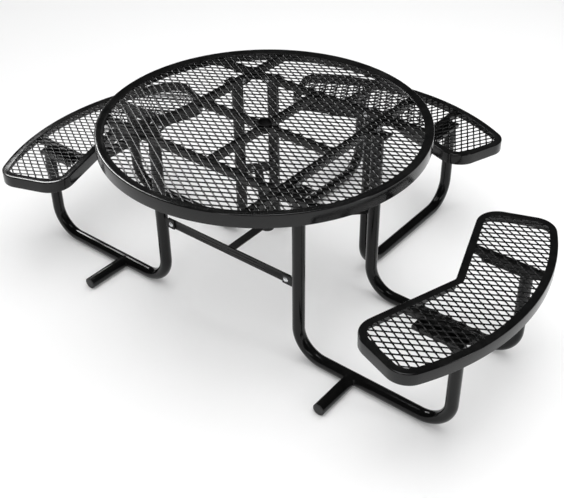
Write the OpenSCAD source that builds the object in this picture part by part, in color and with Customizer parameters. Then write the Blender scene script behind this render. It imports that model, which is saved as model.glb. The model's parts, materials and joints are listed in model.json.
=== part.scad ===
// Round picnic table with three fixed curved seats and one open side for a wheelchair.
// The origin is on the ground under the middle of the table top. +X points at the right seat,
// +Y at the back seat, and the open side faces -Y.

/* [Table top] */
// Diameter of the table top over its rim
table_d = 1168; // [1060:1:1410]
// Height of the table top above the ground
table_h = 745; // [600:1:900]
// Depth of the band round the table top
table_band_h = 48; // [44:1:70]
// Radius of the rolled edge along the top of the table band
edge_r = 8; // [5:0.5:12]
// How far the table rim slopes in and down from its rolled edge to its lip
slope_w = 14; // [8:1:20]
// How far the lip lies below the top of the rim
lip_drop = 5; // [2:0.5:7]
// Width of the flat lip that the mesh is welded to
lip_w = 10; // [6:1:20]
// Thickness of the sheet steel in the rims
sheet_t = 3; // [2:0.5:4]
// Thickness of the coated mesh decks
deck_t = 5; // [3:0.5:8]

/* [Under-frame] */
// Width and height of the square tube of the bars
bar_w = 25; // [20:1:30]
// Wall of the square tube
bar_wall = 2; // [1.5:0.5:3]
// Distance of the four main bars from the middle of the table
bar_off = 300; // [286:1:340]

/* [Umbrella hole] */
// Bore for the umbrella pole
pole_d = 45; // [38:1:52]
// Wall of the umbrella collar and of the lower ring
collar_wall = 3.5; // [2:0.5:5]
// How far the flange on top of the collar reaches beyond it
collar_flange_w = 4; // [2:0.5:20]
// Thickness of the flange on top of the collar
collar_flange_t = 3; // [2:0.5:5]
// How far the collar reaches below the bars
collar_drop = 2; // [0:1:20]
// Gap between the mesh and the collar
collar_gap = 1; // [0.5:0.5:3]
// Height of the lower ring
ring_h = 45; // [38:1:60]

/* [Leg tubes] */
// Outside diameter of the leg tube
tube_d = 45; // [37:0.5:50]
// Wall of the leg tube
tube_wall = 3; // [2:0.5:4]
// Radius of the bends, to the middle of the tube
bend_r = 110; // [80:1:130]
// Half the distance between the two tubes under one seat
leg_half = 226; // [185:1:234]
// How far a table leg stands outside its bar, middle to middle
leg_set = 22; // [18:1:26]
// How far the seat legs stand inside the outer edge of the seat
seat_leg_inset = 117; // [95:1:150]

/* [Stub feet] */
// Distance of the stub feet from the middle of the table
stub_x = 555; // [450:1:700]
// Length of a stub foot from the middle of its leg tube
stub_len = 194; // [120:1:260]
// Thickness of the cap that closes a stub foot
cap_t = 3; // [2:0.5:5]
// Depth of the cap inside the stub foot
cap_plug = 12; // [6:1:20]

/* [Leg brackets] */
// Thickness of the bracket plate on a table leg
bracket_t = 6; // [4:0.5:8]
// Length of the bracket plate, from the inner side of the bar outwards
bracket_len = 80; // [72:1:100]
// Width of the bracket plate
bracket_w = 50; // [46:1:60]
// Gap between the top of the bracket's tab and the mesh
tab_gap = 3; // [2:1:5]

/* [Seats] */
// Height of the seats above the ground
seat_h = 430; // [360:1:520]
// Depth of the band round a seat
seat_band_h = 45; // [40:1:60]
// Width of the flange along the top of the seat band
seat_flange_w = 25; // [15:1:35]
// Distance of the outer edge of a seat from the middle of the table
seat_reach = 1057; // [1030:1:1200]
// Depth of a seat at its middle
seat_depth = 265; // [240:1:320]
// Half the length of a seat between its inner corners
seat_in_half = 415; // [360:1:480]
// How far the inner corners lie behind the middle of the inner edge
seat_in_back = 139; // [100:1:170]
// Half the length of a seat between its outer corners
seat_out_half = 504; // [440:1:560]
// How far the outer corners lie behind the middle of the outer edge
seat_out_back = 157; // [120:1:190]
// Radius of the bend in the middle of the inner edge
seat_mid_r = 20; // [5:1:60]
// Radius of the inner corners
seat_in_r = 86; // [50:1:100]
// Radius of the outer corners
seat_out_r = 78; // [50:1:100]
// How far a seat bar stands from its leg, towards the middle of the seat
seat_bar_shift = 20; // [14:1:25]

/* [Seat brackets] */
// Length of the channel between a seat leg and its bar
channel_len = 180; // [160:1:220]
// Height of the channel
channel_h = 15; // [12:1:22]
// Wall of the channel
channel_wall = 3; // [2:0.5:4]
// Gap between the leg tube and the outer wall of the channel
channel_gap = 1; // [0.5:0.5:2]

/* [Brace] */
// Height of the middle of the brace above the ground
brace_z = 319; // [250:1:420]
// Height of the flat bars of the brace
brace_h = 38; // [30:1:50]
// Thickness of the flat bars and lugs
brace_t = 6; // [4:0.5:8]
// Width of the flat bars that reach in to the lower umbrella ring
link_w = 34; // [25:1:38]
// How far a lug reaches from the middle of its leg
lug_len = 67; // [60:1:90]
// Distance of a brace bolt from the free end of its lug
lug_bolt = 15; // [13:1:20]
// Gap between the brace and the leg tube
brace_gap = 12; // [6:1:20]

/* [Fasteners] */
// Diameter of the bolts at the legs and the brace
bolt_d = 10; // [8:1:12]
// Diameter of the round bolt heads
head_d = 20; // [16:1:24]
// Height of the round bolt heads
head_h = 5; // [4:0.5:7]
// Diameter of the bolts under the seats
seat_bolt_d = 8; // [6:1:10]
// Width across flats of the seat bolt heads
seat_head_w = 13; // [10:1:15]
// Height of the seat bolt heads
seat_head_h = 5; // [4:0.5:7]
// Distance of the first seat bolt from the inner end of the channel
seat_bolt_in = 25; // [15:1:35]
// Distance between the two bolts of a channel
seat_bolt_pitch = 80; // [60:1:88]
// Outside diameter of the threaded inserts in the seat bars
insert_d = 12; // [11:0.5:14]
// Width across flats of the nuts
nut_w = 17; // [15:1:19]
// Height of the nuts
nut_h = 8; // [6:0.5:10]
// How far a bolt stands out of its nut
bolt_end = 4; // [2:1:8]
// Clearance of a bolt in its hole, across the diameter
bolt_gap = 1; // [0.5:0.5:2]

/* [Hidden] */
$fn = 64;
eps = 1;
table_r = table_d / 2;
rim_in_r = table_r - sheet_t;
deck_top = table_h - lip_drop - sheet_t;
bar_top = deck_top - deck_t;
bar_z = bar_top - bar_w / 2;
bar_low = bar_top - bar_w;
bar_in = bar_off - bar_w / 2;
bar_out = bar_off + bar_w / 2;
collar_r = pole_d / 2 + collar_wall;
leg_x = bar_off + leg_set;
tube_r = tube_d / 2;
leg_top = bar_low - bracket_t;
seat_leg_x = seat_reach - seat_leg_inset;
seat_deck_top = seat_h - sheet_t;
seat_bar_top = seat_deck_top - deck_t;
seat_bar_low = seat_bar_top - bar_w;
seat_leg_top = seat_bar_low - channel_wall;
seat_bar_off = leg_half - seat_bar_shift;
seat_bolt_x = [seat_bolt_in, seat_bolt_in + seat_bolt_pitch];
channel_x = seat_leg_x + tube_r + channel_gap - channel_len;
channel_in = seat_bar_off - bar_w / 2;
channel_out = leg_half + tube_r + channel_gap + channel_wall;
channel_w = channel_out - channel_in;
brace_low = brace_z - brace_h / 2;
corner_half = (leg_x - leg_half) / sqrt(2);
corner_out = (leg_x + leg_half) / sqrt(2);

// Each seat's name, its turn about the table, and the names of its lower and upper side
RIGHT = ["right", 0, ["front", "back"]];
BACK = ["back", 90, ["right", "left"]];
LEFT = ["left", 180, ["back", "front"]];
SEATS = [RIGHT, BACK, LEFT];
// The two tubes that stand beside the open side carry a stub foot: seat and side
STUBS = [["right_stub_foot", RIGHT, 0], ["left_stub_foot", LEFT, 1]];

function leg_node(seat, i, what) = str(seat[0], "_", what, "_", seat[2][i]);
function seat_node(seat, what) = str(seat[0], "_", what);
BAR_ENDS = [["left", -1], ["right", 1]];
ROWS = [["front", -1], ["back", 1]];
// Each tie between two neighbouring legs: its turn about the table,
// half the distance between its legs, its distance from the middle,
// the height of its link, and whether its bolt heads face out (1) or in (-1)
FRONT_TIE = [0, leg_x, leg_half, brace_low + brace_h - ring_h / 2, 1];
corner_link_z = brace_low + brace_h - brace_t / 2;
CORNER_TIES = [for (turn = [135, 225]) [turn, corner_half, corner_out, corner_link_z, -1]];
TIES = concat([FRONT_TIE], CORNER_TIES);

// ---------------------------------------------------------------- shapes used more than once

function arc(c, r, a0, a1, n) =
    [for (i = [0:n]) c + r * [cos(a0 + (a1 - a0) * i / n), sin(a0 + (a1 - a0) * i / n)]];

// Directions of the seat's inner edge and end edge, and the normals that point into the seat
mid_pt = [seat_reach - seat_depth, 0];
in_pt = [mid_pt.x - seat_in_back, seat_in_half];
out_pt = [seat_reach - seat_out_back, seat_out_half];
in_dir = (in_pt - mid_pt) / norm(in_pt - mid_pt);
end_dir = (out_pt - in_pt) / norm(out_pt - in_pt);
in_n = [in_dir.y, -in_dir.x];
end_n = [end_dir.y, -end_dir.x];
// The outer edge is an arc through both outer corners and the middle of the outer edge
outer_r = (seat_out_half ^ 2 + seat_out_back ^ 2) / (2 * seat_out_back);
outer_c = [seat_reach - outer_r, 0];
// Middles of the rounded corners
mid_c = mid_pt - [2 * in_n.x, 0] * seat_mid_r / (1 + in_n.x ^ 2 - in_n.y ^ 2);
in_c = in_pt + (in_n + end_n) * seat_in_r / (1 + in_n * end_n);
out_w = out_pt + end_n * seat_out_r - outer_c;
out_b = end_dir * out_w;
out_c = outer_c + out_w
    + end_dir * (sqrt(out_b ^ 2 - out_w * out_w + (outer_r - seat_out_r) ^ 2) - out_b);
in_a = atan2(in_n.y, in_n.x);
end_a = atan2(-end_n.y, -end_n.x);
out_a = atan2(out_c.y - outer_c.y, out_c.x - outer_c.x);

// One half of a seat's outline, moved in by d, from the middle of its inner edge to the outer
function seat_half(d) = concat(
    arc(mid_c, seat_mid_r + d, 0, in_a, 3),
    arc(in_c, seat_in_r - d, in_a + 180, end_a, 12),
    arc(out_c, seat_out_r - d, end_a, out_a, 12),
    arc(outer_c, outer_r - d, out_a, 0, 14)
);

// The whole outline of a seat on the +X side, moved in by d
module seat_outline(d = 0) {
    half = seat_half(d);
    last = len(half) - 1;
    polygon(concat(half, [for (i = [last - 1:-1:1]) [half[i].x, -half[i].y]]));
}

// Moves what belongs to one seat to its place about the table
module at_seat(seat) rotate([0, 0, seat[1]]) children();

// A square tube along X from x0 to x1, with its middle at z
module square_tube(x0, x1, z) {
    in_w = bar_w - 2 * bar_wall;
    difference() {
        translate([x0, -bar_w / 2, z - bar_w / 2]) cube([x1 - x0, bar_w, bar_w]);
        translate([x0 - eps, -in_w / 2, z - in_w / 2]) cube([x1 - x0 + 2 * eps, in_w, in_w]);
    }
}

// A plain rod along Z from z0 to z1
module rod(d, z0, z1) translate([0, 0, z0]) cylinder(d = d, h = z1 - z0);

// A ring round Z
module pipe(r_out, r_in, z0, z1) {
    difference() {
        rod(2 * r_out, z0, z1);
        rod(2 * r_in, z0 - eps, z1 + eps);
    }
}

// A quarter bend of the leg tube in the XZ plane, from x = 0 heading down to z = 0 heading out
module bend(r) {
    translate([bend_r, 0, bend_r]) rotate([90, 0, 0])
        rotate_extrude(angle = 90) translate([-bend_r, 0]) circle(r = r);
}

// The path of one leg tube at radius r: table leg, ground run and seat leg
module leg_path(r, over) {
    run_x0 = leg_x + bend_r;
    run_x1 = seat_leg_x - bend_r;
    bend_z = tube_r + bend_r;
    translate([leg_x, 0, 0]) rod(2 * r, bend_z, leg_top + over);
    translate([leg_x, 0, tube_r]) bend(r);
    translate([run_x0, 0, tube_r]) rotate([0, 90, 0]) cylinder(r = r, h = run_x1 - run_x0);
    translate([seat_leg_x, 0, tube_r]) mirror([1, 0, 0]) bend(r);
    translate([seat_leg_x, 0, 0]) rod(2 * r, bend_z, seat_leg_top + over);
}

// The places of the leg bolts on a bar that runs along X: on the leg's side of the bar
module leg_bolt_hole(y) {
    translate([bar_in - eps, y, bar_z]) rotate([0, 90, 0])
        cylinder(d = bolt_d + bolt_gap, h = bar_w + bracket_t + 2 * eps);
}

// ---------------------------------------------------------------- table top

module table_rim() {
    edge_c = [table_r - edge_r, table_h - edge_r];
    lip_x = edge_c.x - slope_w;
    lip_z = table_h - lip_drop;
    color("#26272a") rotate_extrude($fn = 180) polygon(concat(
        [[table_r, table_h - table_band_h]],
        arc(edge_c, edge_r, 0, 90, 6),
        [[lip_x, lip_z], [lip_x - lip_w, lip_z]],
        [[lip_x - lip_w, lip_z - sheet_t], [lip_x, lip_z - sheet_t]],
        arc(edge_c, edge_r - sheet_t, 90, 0, 6),
        [[rim_in_r, table_h - table_band_h]]
    ));
}

module table_deck() {
    color("#1d1e20") pipe(rim_in_r, collar_r + collar_gap, bar_top, deck_top, $fn = 180);
}

module umbrella_collar() {
    color("#26272a") difference() {
        union() {
            rod(2 * collar_r, bar_low - collar_drop, deck_top + eps);
            rod(2 * (collar_r + collar_flange_w), deck_top, deck_top + collar_flange_t);
        }
        rod(pole_d, bar_low - collar_drop - eps, deck_top + collar_flange_t + eps);
    }
}

// ---------------------------------------------------------------- under-frame

// A bar that runs right across the table beside two legs, drilled for their bolts
module side_bar(side) {
    color("#202124") difference() {
        intersection() {
            translate([side * bar_off, 0, 0]) rotate([0, 0, 90])
                square_tube(-table_r, table_r, bar_z);
            rod(2 * rim_in_r, bar_low, bar_top, $fn = 180);
        }
        for (y = [-leg_half, leg_half]) rotate([0, 0, side > 0 ? 0 : 180]) leg_bolt_hole(y);
    }
}

// The part of a crossing bar between the two side bars
module row_bar_middle(row) {
    color("#202124") difference() {
        translate([0, row[1] * bar_off, 0]) square_tube(-bar_in, bar_in, bar_z);
        if (row[0] == "back")
            for (y = [-leg_half, leg_half]) at_seat(BACK) leg_bolt_hole(y);
    }
}

// The part of a crossing bar between a side bar and the rim
module row_bar_end(row, end) {
    color("#202124") intersection() {
        translate([0, row[1] * bar_off, 0]) mirror([end[1] < 0 ? 1 : 0, 0, 0])
            square_tube(bar_out, table_r, bar_z);
        rod(2 * rim_in_r, bar_low, bar_top, $fn = 180);
    }
}

// A bar from the umbrella collar out to a main bar, turned about the middle
module centre_bar(turn) {
    color("#202124") rotate([0, 0, turn]) difference() {
        square_tube(0, bar_in, bar_z);
        rod(2 * collar_r, bar_low - eps, bar_top + eps);
    }
}

// ---------------------------------------------------------------- legs

// A bent leg tube on the +X side at y
module leg(y) {
    color("#1a1b1d") translate([0, y, 0]) difference() {
        leg_path(tube_r, 0);
        leg_path(tube_r - tube_wall, eps);
    }
}

// The plate on top of a table leg, with the tab that is bolted to the bar
module leg_bracket(y) {
    color("#1a1b1d") difference() {
        union() {
            translate([bar_in, y - bracket_w / 2, leg_top])
                cube([bracket_len, bracket_w, bracket_t]);
            translate([bar_out, y - bracket_w / 2, bar_low - eps])
                cube([bracket_t, bracket_w, bar_w - tab_gap + eps]);
        }
        leg_bolt_hole(y);
    }
}

// A foot that reaches sideways from the ground run of a leg tube
module stub_foot(seat, i) {
    side = i == 0 ? -1 : 1;
    color("#1a1b1d") at_seat(seat) difference() {
        translate([stub_x, side * leg_half, tube_r]) rotate([side * -90, 0, 0])
            pipe(tube_r, tube_r - tube_wall, 0, stub_len);
        translate([stub_x - tube_d, side * leg_half, tube_r]) rotate([0, 90, 0])
            cylinder(r = tube_r, h = 2 * tube_d);
    }
}

// The caps that close both stub feet
module stub_caps() {
    color("#141415") for (stub = STUBS) {
        side = stub[2] == 0 ? -1 : 1;
        at_seat(stub[1]) translate([stub_x, side * leg_half, tube_r]) rotate([side * -90, 0, 0])
            union() {
                rod(tube_d, stub_len, stub_len + cap_t);
                rod(tube_d - 2 * tube_wall, stub_len - cap_plug, stub_len + eps);
            }
    }
}

// ---------------------------------------------------------------- seats

// The band and flange round a seat on the +X side
module seat_rim() {
    low = seat_h - seat_band_h;
    color("#2a2b2e") difference() {
        translate([0, 0, low]) linear_extrude(seat_band_h) seat_outline();
        translate([0, 0, low - eps])
            linear_extrude(seat_band_h - sheet_t + eps) seat_outline(sheet_t);
        translate([0, 0, low - eps])
            linear_extrude(seat_band_h + 2 * eps) seat_outline(sheet_t + seat_flange_w);
    }
}

// The mesh deck of a seat on the +X side, as a plain sheet
module seat_deck() {
    color("#1d1e20") translate([0, 0, seat_bar_top])
        linear_extrude(deck_t) seat_outline(sheet_t);
}

// The holes of the seat bolts on one side of the seat
module seat_bolt_holes(side) {
    for (x = seat_bolt_x)
        translate([channel_x + x, side * seat_bar_off, 0])
            rod(seat_bolt_d + bolt_gap, seat_leg_top - eps, seat_bar_low + bar_wall + eps);
}

// A square tube under a seat, from its inner band to its outer band
module seat_bar(side) {
    color("#202124") difference() {
        intersection() {
            translate([0, side * seat_bar_off, 0])
                square_tube(0, seat_reach, seat_bar_top - bar_w / 2);
            translate([0, 0, seat_bar_low]) linear_extrude(bar_w) seat_outline(sheet_t);
        }
        seat_bolt_holes(side);
    }
}

// The channel on top of a seat leg that carries a seat bar. It is open below and at both ends.
module seat_channel(side) {
    color("#1a1b1d") mirror([0, side < 0 ? 1 : 0, 0]) difference() {
        translate([channel_x, channel_in, seat_bar_low - channel_h])
            cube([channel_len, channel_w, channel_h]);
        translate([channel_x - eps, channel_in + channel_wall, seat_bar_low - channel_h - eps])
            cube([channel_len + 2 * eps, channel_w - 2 * channel_wall,
                channel_h - channel_wall + eps]);
        seat_bolt_holes(1);
    }
}

// ---------------------------------------------------------------- brace

// How far a lug reaches from the middle of its leg, short of the middle of the tie
function lug_reach(tie) = min(lug_len, tie[1] - 1);
function tie_bolt_x(tie) = tie[1] - lug_reach(tie) + lug_bolt;

// A flat bar on edge beside the two lugs of a tie
module brace_bar(tie) {
    end = tie[1] - tube_r - brace_gap;
    color("#1f2023") rotate([0, 0, tie[0]]) difference() {
        translate([-end, -tie[2], brace_low]) cube([2 * end, brace_t, brace_h]);
        brace_holes(tie);
    }
}

module brace_holes(tie) {
    for (x = [-1, 1]) translate([x * tie_bolt_x(tie), -tie[2], brace_z]) rotate([90, 0, 0])
        cylinder(d = bolt_d + bolt_gap, h = 4 * brace_t, center = true);
}

// A flat bar lying flat, from a tie to the lower umbrella ring
module brace_link(tie) {
    reach = tie[2] - brace_t;
    low = tie[3] - brace_t / 2;
    color("#1f2023") rotate([0, 0, tie[0]]) difference() {
        translate([-link_w / 2, -reach, low]) cube([link_w, reach, brace_t]);
        rod(2 * collar_r, low - eps, low + brace_t + eps);
    }
}

// A lug welded to each leg that a tie is bolted to
module brace_lugs() {
    color("#1a1b1d") for (tie = TIES) rotate([0, 0, tie[0]]) for (x = [-1, 1]) difference() {
        mirror([x < 0 ? 1 : 0, 0, 0])
            translate([tie[1] - lug_reach(tie), -tie[2] - brace_t, brace_low])
                cube([lug_reach(tie), brace_t, brace_h]);
        translate([x * tie[1], -tie[2], 0])
            rod(tube_d, brace_low - eps, brace_low + brace_h + eps);
        brace_holes(tie);
    }
}

module umbrella_ring() {
    color("#1f2023")
        pipe(collar_r, pole_d / 2, brace_low + brace_h - ring_h, brace_low + brace_h);
}

// ---------------------------------------------------------------- fasteners

// A dome of height h on a round of diameter d, standing on z = 0
module dome(d, h) {
    r = (d ^ 2 / 4 + h ^ 2) / (2 * h);
    intersection() {
        translate([0, 0, h - r]) sphere(r = r);
        cylinder(d = 2 * d, h = 2 * h);
    }
}

// A bolt that points along -Z from under its round head, which stands on z = 0
module round_bolt(grip) {
    dome(head_d, head_h);
    rod(bolt_d, -grip - nut_h - bolt_end, eps);
}

// A nut below z = 0 with the bore of its bolt
module nut(w, h, bore) {
    difference() {
        translate([0, 0, -h]) cylinder(d = w / cos(30), h = h, $fn = 6);
        rod(bore, -h - eps, eps);
    }
}

// Puts children at each leg bolt, with +Z from the bar towards the middle of the table
module at_leg_bolts() {
    for (seat = SEATS) for (side = [-1, 1])
        at_seat(seat) translate([bar_in, side * leg_half, bar_z]) rotate([0, -90, 0]) children();
}

// Puts children at each brace bolt, with +Z towards its head
module at_brace_bolts() {
    for (tie = TIES) for (x = [-1, 1])
        rotate([0, 0, tie[0]])
            translate([x * tie_bolt_x(tie), -tie[2] - tie[4] * brace_t, brace_z])
                rotate([tie[4] * 90, 0, 0]) children();
}

// Puts children at each seat bolt, at the underside of the channel's web
module at_seat_bolts() {
    for (seat = SEATS) for (side = [-1, 1]) for (x = seat_bolt_x)
        at_seat(seat)
            translate([channel_x + x, side * seat_bar_off, seat_bar_low - channel_wall])
                children();
}

module leg_bolts() color("#c9ccd0") at_leg_bolts() round_bolt(bar_w + bracket_t);

module leg_nuts() {
    color("#b9bcc0") at_leg_bolts()
        translate([0, 0, -bar_w - bracket_t]) nut(nut_w, nut_h, bolt_d);
}

module brace_bolts() color("#c9ccd0") at_brace_bolts() round_bolt(2 * brace_t);

module brace_nuts() {
    color("#b9bcc0") at_brace_bolts()
        translate([0, 0, -2 * brace_t]) nut(nut_w, nut_h, bolt_d);
}

module seat_bolts() {
    color("#c9ccd0") at_seat_bolts() {
        translate([0, 0, -seat_head_h])
            cylinder(d = seat_head_w / cos(30), h = seat_head_h, $fn = 6);
        rod(seat_bolt_d, -eps, channel_wall + bar_wall + nut_h);
    }
}

module seat_inserts() {
    color("#b9bcc0") at_seat_bolts() translate([0, 0, channel_wall + bar_wall])
        pipe(insert_d / 2, seat_bolt_d / 2, 0, nut_h);
}

// ---------------------------------------------------------------- the assembly

table_rim();
table_deck();
umbrella_collar();
side_bar(-1);  // left_bar
side_bar(1);  // right_bar
for (row = ROWS) {
    row_bar_middle(row);
    for (end = BAR_ENDS)
        row_bar_end(row, end);
}
centre_bar(0);  // centre_bar_right
centre_bar(90);  // centre_bar_back
centre_bar(180);  // centre_bar_left
centre_bar(270);  // centre_bar_front
for (seat = SEATS) for (i = [0, 1]) {
    side = 2 * i - 1;
    at_seat(seat) leg(side * leg_half);
    at_seat(seat) leg_bracket(side * leg_half);
    at_seat(seat) seat_channel(side);
    at_seat(seat) seat_bar(side);
}
for (seat = SEATS) {
    at_seat(seat) seat_rim();
    at_seat(seat) seat_deck();
}
for (stub = STUBS)
    stub_foot(stub[1], stub[2]);
stub_caps();
brace_bar(FRONT_TIE);  // brace_front_bar
for (tie = CORNER_TIES) brace_bar(tie);  // brace_corner_bars
brace_link(FRONT_TIE);  // brace_front_link
for (tie = CORNER_TIES) brace_link(tie);  // brace_corner_links
brace_lugs();
umbrella_ring();
leg_bolts();
leg_nuts();
brace_bolts();
brace_nuts();
seat_bolts();
seat_inserts();
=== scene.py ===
"""Round picnic table with three fixed curved seats, dressed over its CAD frame."""

import json
import math

import bmesh
import bpy
import numpy as np
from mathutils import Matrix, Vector


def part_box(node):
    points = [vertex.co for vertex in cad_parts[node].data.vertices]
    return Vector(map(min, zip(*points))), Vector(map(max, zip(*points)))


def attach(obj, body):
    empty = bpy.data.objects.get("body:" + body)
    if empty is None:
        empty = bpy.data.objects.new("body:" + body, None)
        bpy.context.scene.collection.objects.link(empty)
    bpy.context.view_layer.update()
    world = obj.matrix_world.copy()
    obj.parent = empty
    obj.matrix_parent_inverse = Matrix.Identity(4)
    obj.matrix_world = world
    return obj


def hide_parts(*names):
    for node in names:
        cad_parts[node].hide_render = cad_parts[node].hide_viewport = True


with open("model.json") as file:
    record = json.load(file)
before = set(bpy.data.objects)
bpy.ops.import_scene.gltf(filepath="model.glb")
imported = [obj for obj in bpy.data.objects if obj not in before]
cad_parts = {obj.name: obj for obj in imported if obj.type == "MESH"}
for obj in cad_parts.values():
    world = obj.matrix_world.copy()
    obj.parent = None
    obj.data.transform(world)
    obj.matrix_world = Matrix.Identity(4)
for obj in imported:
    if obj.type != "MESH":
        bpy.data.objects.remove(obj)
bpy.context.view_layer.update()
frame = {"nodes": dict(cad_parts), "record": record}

# ---------------------------------------------------------------- sizes, in millimetres

MM = 0.001


def low(node):
    """A node's lowest corner in millimetres."""
    return np.array(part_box(node)[0]) / MM


def high(node):
    """A node's highest corner in millimetres."""
    return np.array(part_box(node)[1]) / MM


TABLE_R = high("table_rim")[0]
TABLE_TOP = high("table_rim")[2]
TABLE_BAND_LOW = low("table_rim")[2]
DECK_TOP = high("table_deck")[2]
DECK_LOW = low("table_deck")[2]
LIP_TOP = DECK_TOP + 3
LIP_IN = 552
LIP_OUT = 562
SHEET = 3
EDGE_R = 8

COLLAR_R = 26
POLE_R = 22.5
COLLAR_LOW = low("umbrella_collar")[2]
PLATE_R = high("umbrella_collar")[0]

TUBE_R = 22.5
TUBE_WALL = 3
BEND_R = 110
LEG_X = 322
LEG_HALF = 226
LEG_TOP = low("right_leg_bracket_front")[2]
SEAT_LEG_X = 940
SEAT_LEG_TOP = low("right_seat_channel_front")[2] + 12
STUB_X = 555
STUB_REACH = 194
CAP_T = 3
CAP_PLUG = 12

SEAT_TOP = high("right_seat_rim")[2]
SEAT_BAND_LOW = low("right_seat_rim")[2]
SEAT_DECK_TOP = high("right_seat_deck")[2]
SEAT_DECK_LOW = low("right_seat_deck")[2]
FLANGE_W = 28
SEAT_REACH = high("right_seat_rim")[0]
SEAT_DEPTH = 265
SEAT_IN_HALF = 415
SEAT_IN_BACK = 139
SEAT_OUT_HALF = 504
SEAT_OUT_BACK = 157
SEAT_MID_R = 20
SEAT_IN_R = 86
SEAT_OUT_R = 78

BAR_IN = 287.5
BAR_W = 25
BAR_Z = DECK_LOW - BAR_W / 2
BRACKET_T = 6
CHANNEL_WALL = 3
SEAT_BAR_Y = LEG_HALF - 20
CHANNEL_X = low("right_seat_channel_front")[0]
SEAT_BOLTS = (25, 105)
BRACE_Z = 319
BRACE_H = 38
BRACE_T = 6
LUG_LEN = 67
LUG_BOLT = 15

# Expanded metal: one diamond's long and short way, its opening, a diamond's middle on the table
# and on a seat, and the shape of a coated strand
LONG_WAY = 49.0
SHORT_WAY = 28.4
OPENING_LONG = 35.0
OPENING_SHORT = 20.6
TABLE_DIAMOND_X = 0.9
SEAT_DIAMOND_X = 845.7
STRAND_RIDGE = 2.3
STRAND_SHOULDER = 1.7
STRAND_TILT = 0.7
OPENING_ROUNDING = 1.16

CORNER_HALF = (LEG_X - LEG_HALF) / math.sqrt(2)
CORNER_OUT = (LEG_X + LEG_HALF) / math.sqrt(2)

# The ties of the brace: turn, half the distance between the legs, distance from the middle,
# and whether the bolt heads face out or in
TIES = (
    (0, LEG_X, LEG_HALF, 1),
    (135, CORNER_HALF, CORNER_OUT, -1),
    (225, CORNER_HALF, CORNER_OUT, -1),
)

# Each seat's turn about the middle, and the names of its two legs
SEATS = {
    "right": (0, ("front", "back")),
    "back": (90, ("right", "left")),
    "left": (180, ("back", "front")),
}


# ---------------------------------------------------------------- making pieces


def dress(obj, material):
    """Gives every material slot of an object one material."""
    if not obj.data.materials:
        obj.data.materials.append(material)
    for index in range(len(obj.data.materials)):
        obj.data.materials[index] = material


def piece(name, points, faces, material, nodes=(), crease=40):
    """A new piece from points in millimetres, riding on the table."""
    mesh = bpy.data.meshes.new(name)
    mesh.from_pydata([tuple(p) for p in np.asarray(points, float) * MM], [], faces)
    form = bmesh.new()
    form.from_mesh(mesh)
    bmesh.ops.recalc_face_normals(form, faces=form.faces)
    form.to_mesh(mesh)
    form.free()
    mesh.shade_smooth()
    mesh.set_sharp_from_angle(angle=math.radians(crease))
    obj = bpy.data.objects.new(name, mesh)
    bpy.context.scene.collection.objects.link(obj)
    dress(obj, material)
    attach(obj, "root")
    if nodes:
        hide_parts(*nodes)
    return obj


class Shape:
    """Points and faces gathered for one piece."""

    def __init__(self):
        self.points = []
        self.faces = []

    def add(self, points, faces):
        start = len(self.points)
        self.points.extend(tuple(p) for p in points)
        self.faces.extend(tuple(start + i for i in face) for face in faces)

    def made(self, name, material, slot, nodes=(), crease=40):
        return piece(name, self.points, self.faces, material, nodes, crease)


def turned_about(points, degrees):
    """Points turned about the middle of the table."""
    angle = math.radians(degrees)
    points = np.asarray(points, float)
    x = points[:, 0] * math.cos(angle) - points[:, 1] * math.sin(angle)
    y = points[:, 0] * math.sin(angle) + points[:, 1] * math.cos(angle)
    return np.stack([x, y, points[:, 2]], 1)


def stood(points, origin, axis):
    """Points moved so that their +Z lies along axis and their zero at origin."""
    turn = Vector(axis).to_track_quat("Z", "Y").to_matrix()
    return np.asarray(points, float) @ np.array(turn).T + np.asarray(origin, float)


def arc(centre, radius, start, end, steps):
    """Points along an arc in a plane, angles in degrees."""
    angles = np.radians(np.linspace(start, end, steps + 1))
    return [(centre[0] + radius * math.cos(a), centre[1] + radius * math.sin(a)) for a in angles]


def rounded(corners, steps=5):
    """A closed section from (across, up, radius) corners, each rounded off."""
    section = []
    count = len(corners)
    for i, (x, z, radius) in enumerate(corners):
        here = np.array([x, z], float)
        before = np.array(corners[i - 1][:2], float) - here
        after = np.array(corners[(i + 1) % count][:2], float) - here
        reach_before = np.linalg.norm(before)
        reach_after = np.linalg.norm(after)
        before /= reach_before
        after /= reach_after
        half = math.acos(max(-1, min(1, float(before @ after)))) / 2
        cut = min(radius / math.tan(half), 0.48 * reach_before, 0.48 * reach_after)
        start = here + before * cut
        end = here + after * cut
        for k in range(steps + 1):
            t = k / steps
            section.append(tuple((1 - t) ** 2 * start + 2 * t * (1 - t) * here + t ** 2 * end))
    return section


def skin(rings, wrap_rings, wrap_around):
    """Quads over rings of equal length."""
    rows = len(rings)
    size = len(rings[0])
    points = [p for ring in rings for p in ring]
    faces = []
    for i in range(rows if wrap_rings else rows - 1):
        for j in range(size if wrap_around else size - 1):
            a = i * size + j
            b = i * size + (j + 1) % size
            c = (i + 1) % rows * size + (j + 1) % size
            d = (i + 1) % rows * size + j
            faces.append((a, b, c, d))
    return points, faces


def turned(section, around=48):
    """A closed (radius, height) section turned about Z into a ring."""
    angles = np.linspace(0, 2 * math.pi, around, endpoint=False)
    rings = [[(r * math.cos(a), r * math.sin(a), z) for a in angles] for r, z in section]
    return skin(rings, True, True)


def spun(section, around=32):
    """A (radius, height) line turned about Z, closed by a point at each end."""
    angles = np.linspace(0, 2 * math.pi, around, endpoint=False)
    inner = section[1:-1]
    rings = [[(r * math.cos(a), r * math.sin(a), z) for a in angles] for r, z in inner]
    points, faces = skin(rings, False, True)
    for tip, row in ((section[0], 0), (section[-1], len(rings) - 1)):
        points.append((0, 0, tip[1]))
        for j in range(around):
            faces.append((len(points) - 1, row * around + j, row * around + (j + 1) % around))
    return points, faces


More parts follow.
